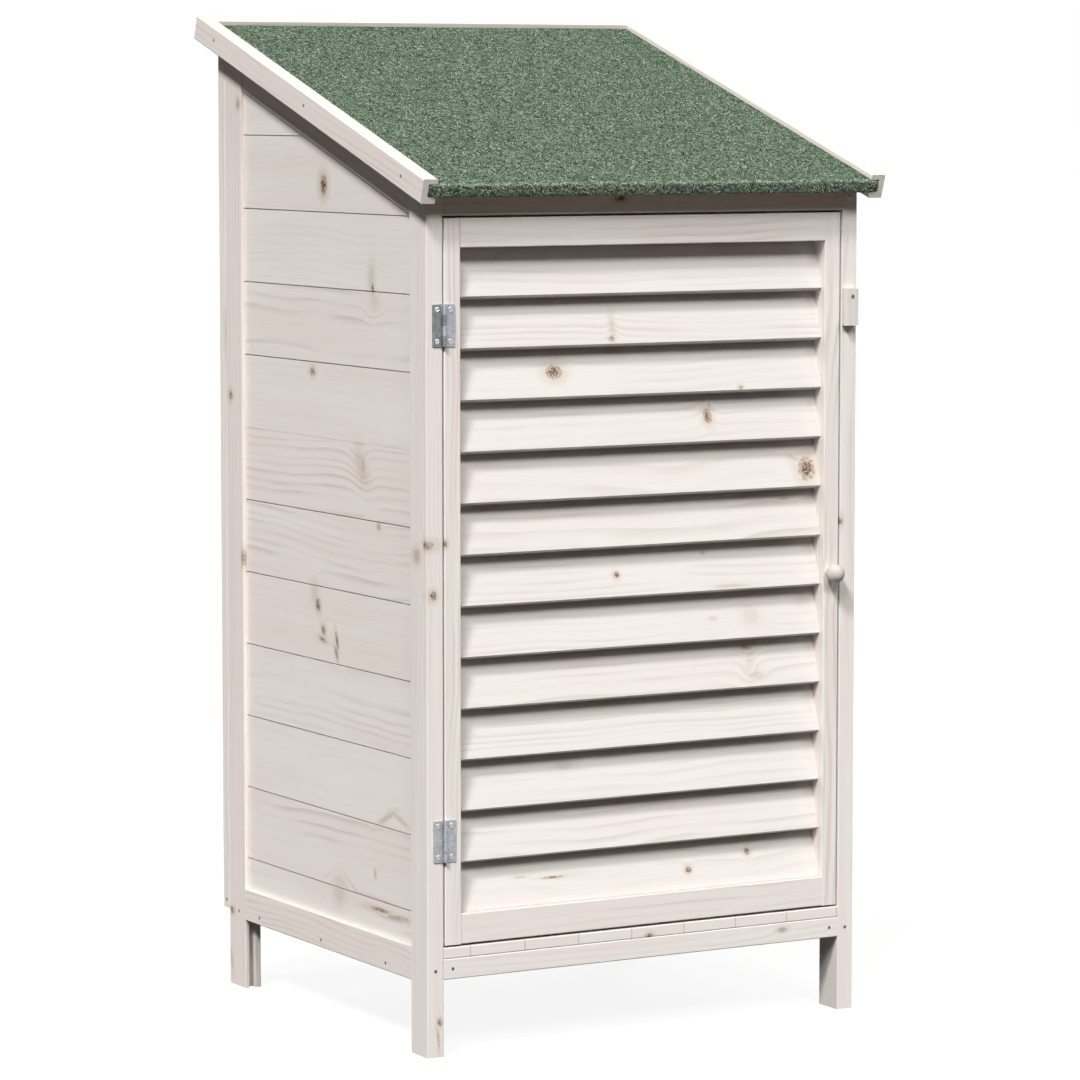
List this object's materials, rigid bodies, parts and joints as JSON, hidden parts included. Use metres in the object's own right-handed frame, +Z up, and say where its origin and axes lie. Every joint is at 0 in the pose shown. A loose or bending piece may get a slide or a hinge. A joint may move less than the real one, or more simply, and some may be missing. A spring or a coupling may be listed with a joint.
{
  "type": "garden tool shed",
  "caption": "Narrow wooden garden tool shed on short legs, with a louvred door, turn button latch and felted lean-to roof, for storing tools outdoors.",
  "frame": {"origin": "on the ground, below the middle of the bounding box", "axes": "+Z up, -Y out of the door's front, +X to the right seen from the front"},
  "size_m": [0.516, 0.4908, 0.9924],
  "materials": {
    "stained_pine": "thin white stain over pine, matt",
    "plywood": "bare plywood, matt",
    "felt": "green mineral granules on bitumen felt, rough",
    "zinc": "zinc plated",
    "steel": "bright steel"
  },
  "bodies": {
    "shed": {"back_boards": "stained_pine", "back_bottom_rail": "stained_pine", "back_left_stile": "stained_pine", "back_nails": "steel", "back_right_stile": "stained_pine", "back_roof_trim": "stained_pine", "back_top_rail": "stained_pine", "door_stop": "stained_pine", "floor_panel": "stained_pine", "front_header": "stained_pine", "front_nails": "steel", "front_sill": "stained_pine", "hinge_post_screws": "zinc", "left_bottom_rail": "stained_pine", "left_floor_bearer": "stained_pine", "left_front_post": "stained_pine", "left_rear_post": "stained_pine", "left_roof_trim": "stained_pine", "left_side_boards": "stained_pine", "left_top_rail": "stained_pine", "lower_hinge_pin": "zinc", "lower_hinge_post_leaf": "zinc", "right_bottom_rail": "stained_pine", "right_floor_bearer": "stained_pine", "right_front_post": "stained_pine", "right_rear_post": "stained_pine", "right_roof_trim": "stained_pine", "right_side_boards": "stained_pine", "right_top_rail": "stained_pine", "roof_deck": "plywood", "roof_felt": "felt", "roof_nails": "steel", "side_nails": "steel", "turn_button_screw": "steel", "upper_hinge_pin": "zinc", "upper_hinge_post_leaf": "zinc"},
    "door": {"door_bottom_rail": "stained_pine", "door_knob": "stained_pine", "door_left_stile": "stained_pine", "door_right_stile": "stained_pine", "door_slat_01": "stained_pine", "door_slat_02": "stained_pine", "door_slat_03": "stained_pine", "door_slat_04": "stained_pine", "door_slat_05": "stained_pine", "door_slat_06": "stained_pine", "door_slat_07": "stained_pine", "door_slat_08": "stained_pine", "door_slat_09": "stained_pine", "door_slat_10": "stained_pine", "door_slat_11": "stained_pine", "door_slat_12": "stained_pine", "door_slat_13": "stained_pine", "door_top_rail": "stained_pine", "hinge_door_screws": "zinc", "knob_screw": "steel", "lower_hinge_door_leaf": "zinc", "upper_hinge_door_leaf": "zinc"},
    "turn_button": {"turn_button": "stained_pine"}
  },
  "joints": [
    {"name": "door_swing", "type": "hinge", "parent": "shed", "child": "door", "pos_m": [-0.2235, -0.2216, 0.45225], "axis": [0, 0, -1], "range_deg": [0, 170]},
    {"name": "button_turn", "type": "hinge", "parent": "shed", "child": "turn_button", "pos_m": [0.232, -0.2238, 0.715], "axis": [0, 1, 0], "continuous": true}
  ]
}
